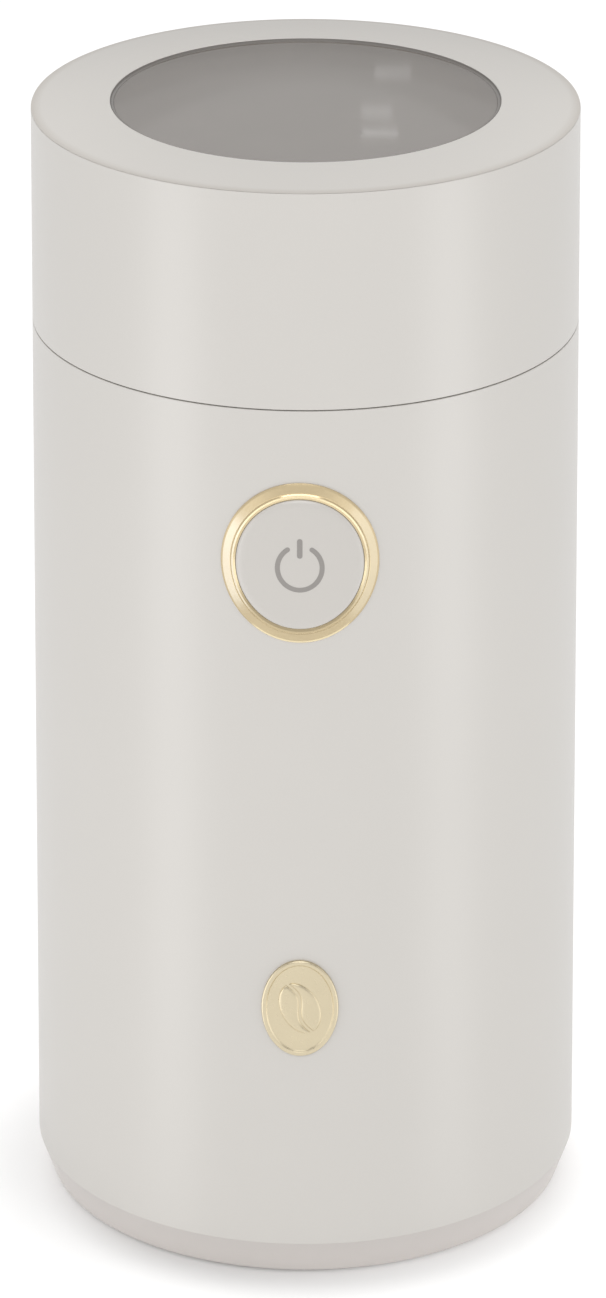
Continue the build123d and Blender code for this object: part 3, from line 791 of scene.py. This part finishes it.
# ---- under the lid: collar, bowl, blade --------------------------------------------------
piece("collar", spin(rounded([
    (32.4, 150.8), (35.4, 150.8), (35.4, 150.0), (43.5, 150.0), (43.5, Z_SHOULDER, 0.35), (37.2, Z_SHOULDER, 0.5),
    (37.2, 160.0, 0.6), (35.4, 160.0, 0.5), (35.4, 155.2, 0.8), (32.4, 152.2, 0.6)]), seg=256),
    "housing", M["grey_plastic"], ["top_collar"])

piece("bowl", spin(rounded([
    (6.1, 110.0), (30.6, 110.0, 8.8), (31.9, 150.0), (35.2, 150.0), (35.2, 150.8, 0.1), (31.2, 150.8, 0.7),
    (29.8, 110.8, 8.0), (6.1, 110.8)], step=7.5, hold=0.2), seg=256),
    "housing", M["stainless"], ["grinding_bowl"])

piece("seal", spin(rounded([
    (2.75, 106.0), (9.0, 106.0, 0.2), (9.0, 110.0), (6.0, 110.0), (6.0, 110.8), (8.6, 110.8, 0.15), (7.4, 112.0, 0.5),
    (3.4, 112.0, 0.4), (2.75, 111.4, 0.2)]), seg=96), "housing", M["rubber_black"], ["shaft_seal"])

piece("hub", spin(rounded([
    (2.52, 112.6), (7.6, 112.6, 0.25), (7.6, 114.2, 0.3), (5.6, 115.4, 0.6), (5.2, 116.6, 0.1), (2.52, 116.6)]), seg=96),
    "rotor", M["stainless"], ["blade_hub"])


def nut_mesh(seg=72):
    """Hexagon with chamfered corners and a domed end."""
    def hexa(t):
        return 4.6 * math.cos(math.pi / 6) / math.cos((t + math.pi / 6) % (math.pi / 3) - math.pi / 6)

    dome = rounded([(3.75, 121.4), (3.7, 121.9, 0.4), (3.1, 123.2, 1.2), (1.7, 123.9, 1.6), (0, 124.0)], closed=False, step=9)
    levels = [(4.30, 118.0), (9.0, 118.22), (9.0, 121.15), (4.25, 121.4)] + dome[:-1]
    verts, loops = [], []
    for r, z in levels:
        loop = []
        for k in range(seg):
            t = 2 * math.pi * k / seg
            loop.append(len(verts))
            q = min(r, hexa(t))
            verts.append((q * math.cos(t), q * math.sin(t), z))
        loops.append(loop)
    faces = bridge(loops)
    tip = len(verts)
    verts.append((0, 0, 124.0))
    faces += [[loops[-1][k], loops[-1][(k + 1) % seg], tip] for k in range(seg)]
    inside = [loops[0]]
    for r, z in ((2.52, 118.0), (2.52, 122.8)):
        inside.append(list(range(len(verts), len(verts) + seg)))
        verts += [(r * math.cos(2 * math.pi * k / seg), r * math.sin(2 * math.pi * k / seg), z) for k in range(seg)]
    faces += bridge(inside)
    tip = len(verts)
    verts.append((0, 0, 122.8))
    faces += [[inside[-1][k], inside[-1][(k + 1) % seg], tip] for k in range(seg)]
    return verts, faces


piece("nut", nut_mesh(), "rotor", M["nut_steel"], ["blade_nut"], sharp=22)


def blade_mesh():
    """Two wings with ground leading edges round the shaft's hole, one tip bent up and the other down."""
    ny, half, z0 = 8, 4.6, 117.3
    bend, xb = math.radians(22), 17.9
    xs = [0.0, 1.6, 3.2, 4.8, 6.4]
    verts = []

    def ring(s, sx, ground, end=False):
        """One section at distance s along the wing on side sx; ground is how far its edge bevel has opened."""
        low, top = 0.55 - 0.90 * ground, 4.45 - 1.55 * ground
        ys = [-half + 2 * half * i / ny for i in range(ny + 1)]
        sec = [(y, -0.7) for y in ys] + [(half, low)]
        sec += [(top - (top + 4.45) * i / ny, 0.7) for i in range(ny + 1)] + [(-half, 0.55)]
        ids = []
        for y, h in sec:
            x = s
            if end:
                reach = math.sqrt(26.0 ** 2 - y * y) - 0.06 * abs(h)
                x = xb + (reach - xb) / math.cos(bend) + h * math.tan(bend)
            if x > xb:
                d = x - xb
                px, pz = xb + d * math.cos(bend) - h * math.sin(bend), d * math.sin(bend) + h * math.cos(bend)
            else:
                px, pz = x - h * math.tan(bend / 2) * max(0.0, (x - xb + 1.2) / 1.2), h
            ids.append(len(verts))
            # turned half round the shaft with the tip's bend turned over, so one tip rises and the other falls
            if sx > 0:
                verts.append((px, y, z0 + pz))
            else:
                h2 = h
                if x > xb:
                    d = x - xb
                    px, pz = xb + d * math.cos(bend) + h * math.sin(bend), -d * math.sin(bend) + h * math.cos(bend)
                else:
                    px, pz = x + h * math.tan(bend / 2) * max(0.0, (x - xb + 1.2) / 1.2), h
                verts.append((-px, -y, z0 + pz))
        return ids

    faces = []
    middle = {}
    for sx in (1, -1):
        stations = [(x, 0.0) for x in xs] + [(7.6, 0.5), (8.8, 1.0), (12.0, 1.0), (15.5, 1.0), (17.3, 1.0), (17.9, 1.0),
                                             (18.5, 1.0), (20.5, 1.0), (22.8, 1.0)]
        loops = [ring(s, sx, g) for s, g in stations] + [ring(0, sx, 1.0, end=True)]
        faces += bridge(loops[len(xs) - 1:])
        last = loops[-1]
        for i in range(ny):
            faces.append([last[i], last[i + 1], last[2 * ny + 1 - i], last[2 * ny + 2 - i]])
        faces.append([last[ny], last[ny + 1], last[ny + 2]])
        faces.append([last[0], last[2 * ny + 2], last[2 * ny + 3]])
        middle[sx] = loops[:len(xs)]
    # side walls of the middle part, and its top and bottom round the hole
    a, b = middle[1], middle[-1]
    rows_pos = [list(reversed(b))[i] for i in range(len(xs) - 1)] + [a[0]] + a[1:]

    def along(pick_a, pick_b):
        return [l[pick_b] for l in reversed(b[1:])] + [a[0][pick_a]] + [l[pick_a] for l in a[1:]]

    right_low = along(ny, 0)
    right_mid = along(ny + 1, 2 * ny + 3)
    right_top = along(ny + 2, 2 * ny + 2)
    left_low = along(0, ny)
    left_mid = along(2 * ny + 3, ny + 1)
    left_top = along(2 * ny + 2, ny + 2)
    for lo, mi, hi in ((right_low, right_mid, right_top), (left_low, left_mid, left_top)):
        faces += bridge([lo, mi, hi], closed=False)
    walls = []
    for right, left, ea, eb, z in (
            (right_top, left_top, [a[-1][ny + 2 + i] for i in range(ny + 1)], [b[-1][ny + 2 + i] for i in range(ny + 1)], 0.7),
            (right_low, left_low, [a[-1][ny - i] for i in range(ny + 1)], [b[-1][ny - i] for i in range(ny + 1)], -0.7)):
        rim = right[:-1] + ea[:-1] + list(reversed(left))[:-1] + eb[:-1]
        pts = [verts[i] for i in rim]
        loops = [rim]
        for f in (0.45, 1.0):
            loop = []
            for x, y, _ in pts:
                t = math.atan2(y, x)
                loop.append(len(verts))
                verts.append((x + (2.52 * math.cos(t) - x) * f, y + (2.52 * math.sin(t) - y) * f, z0 + z))
            loops.append(loop)
        faces += bridge(loops)
        walls.append(loops[-1])
    faces += bridge(walls)
    used = sorted({i for q in faces for i in q})
    new = {o: i for i, o in enumerate(used)}
    return [verts[i] for i in used], [[new[i] for i in q] for q in faces]


piece("blade", blade_mesh(), "rotor", M["blade_steel"], ["grinding_blade"], sharp=18)

piece("lid_pin", moved(spin(rounded([
    (0, 128.0), (1.4, 128.0, 0.15), (1.4, 142.9), (2.1, 142.9, 0.1), (2.1, 144.4, 0.1), (1.4, 144.4), (1.4, Z_SEAM_HI - 0.1, 0.6),
    (0, Z_SEAM_HI - 0.1)], closed=False), seg=48, closed=False), R_PIN), "interlock", M["grey_plastic"], ["interlock_pin"])


# ---- return spring of the button: it shortens as the button goes in, but here it is built at one length ---
def spring_mesh(mean, wire, y0, y1, turns, per=40, around=12):
    """Coil along the front's axis with flattened end turns."""
    n = int(turns * per)
    lead = (y1 - y0 - 2 * wire)
    pts = []
    for i in range(n + 1):
        f = i / n
        g = min(max((f * turns - 0.9) / (turns - 1.8), 0.0), 1.0)
        a = 2 * math.pi * f * turns
        pts.append(np.array((mean * math.cos(a), -(y0 + wire + lead * g), Z_BUTTON + mean * math.sin(a))))
    verts, loops = [], []
    for i, p in enumerate(pts):
        d = pts[min(i + 1, n)] - pts[max(i - 1, 0)]
        d /= np.linalg.norm(d)
        out = np.array((p[0], 0.0, p[2] - Z_BUTTON))
        out /= np.linalg.norm(out)
        up = np.cross(d, out)
        loop = []
        for k in range(around):
            t = 2 * math.pi * k / around
            loop.append(len(verts))
            verts.append(tuple(p + wire * (out * math.cos(t) + up * math.sin(t))))
        loops.append(loop)
    faces = bridge(loops) + [list(reversed(loops[0])), loops[-1]]
    return verts, faces


spring = piece("return_spring", spring_mesh(6.6, 0.3, 36.9, 43.0, 6), "housing", M["zinc_steel"], ["button_spring"],
               sharp=60)
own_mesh(spring)

# ---- finish of the pieces that keep their own shape ------------------------------------------
special = {"commutator": "commutator_copper"}
for sub in frame["record"]["subparts"]:
    ob = frame["nodes"][sub["node"]]
    mat = M[special.get(sub["node"], sub["material_slot"])]
    if ob.material_slots:
        for s in ob.material_slots:
            s.material = mat
    else:
        ob.data.materials.append(mat)

# ---- stage: floor, light and camera ----------------------------------------------------------
fm = Mat("floor")
grain = fm.noise(fm.obj(), 30.0, 2.0, 0.5)
fm.colour(grain, (0.93, 0.93, 0.93), (0.95, 0.95, 0.95)).set(Roughness=0.9)
fm.set(Specular_IOR_Level=0.1)
bpy.ops.mesh.primitive_plane_add(size=12.0, location=(0, 0, 0))
floor = bpy.context.object
floor.name = "floor"
floor.data.materials.append(fm.m)

world = bpy.data.worlds.new("studio")
bpy.context.scene.world = world
world.use_nodes = True
bg = world.node_tree.nodes["Background"]
bg.inputs["Color"].default_value = (1.0, 1.0, 1.0, 1.0)
bg.inputs["Strength"].default_value = 0.578


def on_floor_only(ob, only):
    """Keeps a light on the floor alone, or off the floor."""
    group = bpy.data.collections.new(ob.name + "_reach")
    group.objects.link(floor)
    ob.light_linking.receiver_collection = group
    group.collection_objects[0].light_linking.link_state = "INCLUDE" if only else "EXCLUDE"


def softbox(name, azimuth, elevation, distance, width, height, radiance, aim=(0, 0, 0.1), low=False, reach=None,
            tint=None, oval=False, past=()):
    """Rectangular light of a given radiance, facing the object. Azimuth 0 is in front, 90 to the right.

    A low one reaches down past the floor's level, and the floor doesn't block it. One with a reach lights that object alone.
    The objects named in past don't block it.
    """
    a, e = math.radians(azimuth), math.radians(elevation)
    pos = Vector(aim) + distance * Vector((math.sin(a) * math.cos(e), -math.cos(a) * math.cos(e), math.sin(e)))
    data = bpy.data.lights.new(name, "AREA")
    data.shape = "ELLIPSE" if oval else "RECTANGLE"
    data.size, data.size_y = width, height
    data.energy = radiance * math.pi * width * height * (math.pi / 4 if oval else 1.0)
    if tint:
        data.color = tint
    ob = bpy.data.objects.new(name, data)
    bpy.context.scene.collection.objects.link(ob)
    ob.location = pos
    ob.rotation_mode = "QUATERNION"
    ob.rotation_quaternion = (Vector(aim) - pos).to_track_quat("-Z", "Y")
    ob.visible_camera = False
    if reach:
        group = bpy.data.collections.new(name + "_reach")
        group.objects.link(reach)
        ob.light_linking.receiver_collection = group
    else:
        on_floor_only(ob, False)
    if low or past:
        group = bpy.data.collections.new(name + "_block")
        for other in ([floor] if low else []) + list(past):
            group.objects.link(other)
        ob.light_linking.blocker_collection = group
        for item in group.collection_objects:
            item.light_linking.link_state = "EXCLUDE"
    return ob


def spare(ob, other):
    """Keeps a light off one more object."""
    group = ob.light_linking.receiver_collection
    group.objects.link(other)
    for item in group.collection_objects:
        item.light_linking.link_state = "EXCLUDE"


spare(softbox("left_low", -50, 0, 0.20, 0.07, 0.12, 1.0, (0, 0, -0.01), True), ring)
spare(softbox("left_high", -50, 0, 0.20, 0.07, 0.11, 1.17, (0, 0, 0.105), True), ring)
spare(softbox("right_low", 57, 0, 0.20, 0.07, 0.12, 0.78, (0, 0, -0.01), True), ring)
spare(softbox("right_high", 57, 0, 0.20, 0.07, 0.11, 1.08, (0, 0, 0.105), True), ring)
softbox("front_panel", 0, 38, 0.8, 0.5, 0.35, 3.02)
spare(softbox("top_panel", 0, 74, 0.20, 0.25, 0.06, 3.19, (0, 0, 0.19)), top_ring)
# the top ring's own lights: one over it in front, one close to each side
softbox("top_mid", 0, 74, 0.20, 0.25, 0.06, 1.0, (0, 0, 0.19), reach=top_ring)
softbox("top_left", -80, 40, 0.12, 0.06, 0.06, 3.2, (0, 0, 0.192), reach=top_ring)
softbox("top_right", 80, 40, 0.12, 0.06, 0.06, 3.2, (0, 0, 0.192), reach=top_ring)
# what the pane mirrors: the lower end of a soft panel and three small windows
for i, (el, wide) in enumerate(((28.15, 0.34), (28.45, 0.28), (28.75, 0.22))):
    softbox("back_%d" % i, -178.82, el, 0.796, wide, 0.30, 0.14, (0, -0.0016, 0.19053), reach=cup, oval=True,
            past=(rim, top_ring))
softbox("glint_1", -179.68, 18.19, 0.6, 0.00941, 0.00340, 0.35, (0.01405, 0.01522, 0.19198), reach=cup)
softbox("glint_2", -179.53, 18.55, 0.6, 0.00775, 0.00258, 0.52, (0.01162, -0.00547, 0.19198), reach=cup)
softbox("glint_3", -179.56, 18.74, 0.6, 0.00924, 0.00180, 0.65, (0.01220, -0.01600, 0.19198), reach=cup)
# the ring's own lights: both flanks of its face, and the crest of its bead
at_ring = (0, -0.0455, Z_BUTTON * MM)
softbox("ring_left", -48, -21, 0.25, 0.11, 0.115, 2.0, at_ring, True, ring, (0.48, 0.62, 1.0))
softbox("ring_right", 48, -21, 0.25, 0.115, 0.15, 0.92, at_ring, True, ring, (0.50, 0.66, 1.0))
softbox("ring_low", 0, -66, 0.06, 0.08, 0.02, 1.4, at_ring, True, ring, (0.80, 0.90, 1.0))
softbox("ring_crest", 0, -16, 0.25, 0.36, 0.07, 1.5, at_ring, True, ring, (0.80, 0.90, 1.0))


def floor_sun(name, energy, way, angle, blockers):
    """Light on the floor alone. Only the blockers throw a shadow, so that its edge is as soft as their height allows."""
    data = bpy.data.lights.new(name, "SUN")
    data.energy = energy
    data.angle = math.radians(angle)
    ob = bpy.data.objects.new(name, data)
    bpy.context.scene.collection.objects.link(ob)
    ob.rotation_mode = "QUATERNION"
    ob.rotation_quaternion = Vector(way).to_track_quat("-Z", "Y")
    on_floor_only(ob, True)
    group = bpy.data.collections.new(name + "_block")
    for other in blockers:
        group.objects.link(other)
    ob.light_linking.blocker_collection = group
    return ob


lid = [lid_wall, top_ring]
floor_sun("floor_near", 0.80, (0.011, -0.036, -1.0), 2.8, lid)
floor_sun("floor_far", 0.70, (-0.046, -0.0200, -1.0), 5.3, lid)
floor_sun("floor_fill", 0.32, (0.0, 0.0, -1.0), 4.0, [floor])

cam_data = bpy.data.cameras.new("camera")
cam_data.sensor_width = 36.0
cam_data.lens = 6256.1 * 36.0 / 1298.0
cam = bpy.data.objects.new("camera", cam_data)
bpy.context.scene.collection.objects.link(cam)
ca, ce = math.radians(1.18), math.radians(23.457)
back = Vector((math.sin(ca) * math.cos(ce), -math.cos(ca) * math.cos(ce), math.sin(ce)))
cam.location = Vector((0, 0, 0.09499)) + back * 1.0540 + Vector((math.cos(ca), math.sin(ca), 0)) * -0.000435
cam.rotation_mode = "QUATERNION"
cam.rotation_quaternion = (-back).to_track_quat("-Z", "Y")
cam_data.clip_start, cam_data.clip_end = 0.05, 50.0
bpy.context.scene.camera = cam

bpy.context.scene.view_settings.view_transform = "Standard"
bpy.context.scene.view_settings.look = "None"
